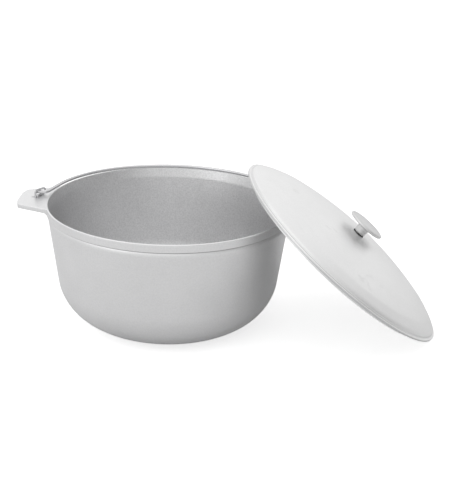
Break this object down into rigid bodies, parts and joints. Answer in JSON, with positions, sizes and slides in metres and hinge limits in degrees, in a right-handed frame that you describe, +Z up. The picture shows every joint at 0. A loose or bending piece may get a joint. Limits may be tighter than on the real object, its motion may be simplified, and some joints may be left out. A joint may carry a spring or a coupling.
{
  "type": "cooking pot with bail and lid",
  "caption": "Wide cast-aluminium cooking pot with two flat lugs, a folding wire bail and a domed lid with a mushroom knob leaning against it.",
  "frame": {"origin": "centre of the pot's flat base, where it stands", "axes": "+Z up along the pot's axis, +X through the right lug, against which the lid leans; the bail lies folded towards +Y"},
  "size_m": [0.6376, 0.3766, 0.2388],
  "materials": {
    "cast_aluminium": "satin, fine blasted casting",
    "lid_aluminium": "satin, fine blasted casting",
    "knob_aluminium": "turned satin",
    "handle_steel": "bright drawn wire",
    "screw_steel": "plated",
    "knob_washer": "dull black"
  },
  "bodies": {
    "pot": {"pot_body": "cast_aluminium", "left_handle_eye": "handle_steel", "right_handle_eye": "handle_steel"},
    "bail": {"bail_handle": "handle_steel"},
    "lid": {"lid_plate": "lid_aluminium", "lid_knob": "knob_aluminium", "knob_washer": "knob_washer", "knob_screw": "screw_steel", "screw_washer": "screw_steel"}
  },
  "joints": [
    {"name": "bail_swing", "type": "hinge", "parent": "pot", "child": "bail", "pos_m": [0, 0.00763, 0.19205], "axis": [1, 0, 0], "range_deg": [0, 180]},
    {"name": "lid_lift", "type": "slide", "parent": "pot", "child": "lid", "axis": [0, 0, 1], "range_m": [0, 0.3]}
  ],
  "couplings": [
    {"joint": "lid_lift", "follows": "bail_swing", "m_per_rad": 0.095493}
  ]
}
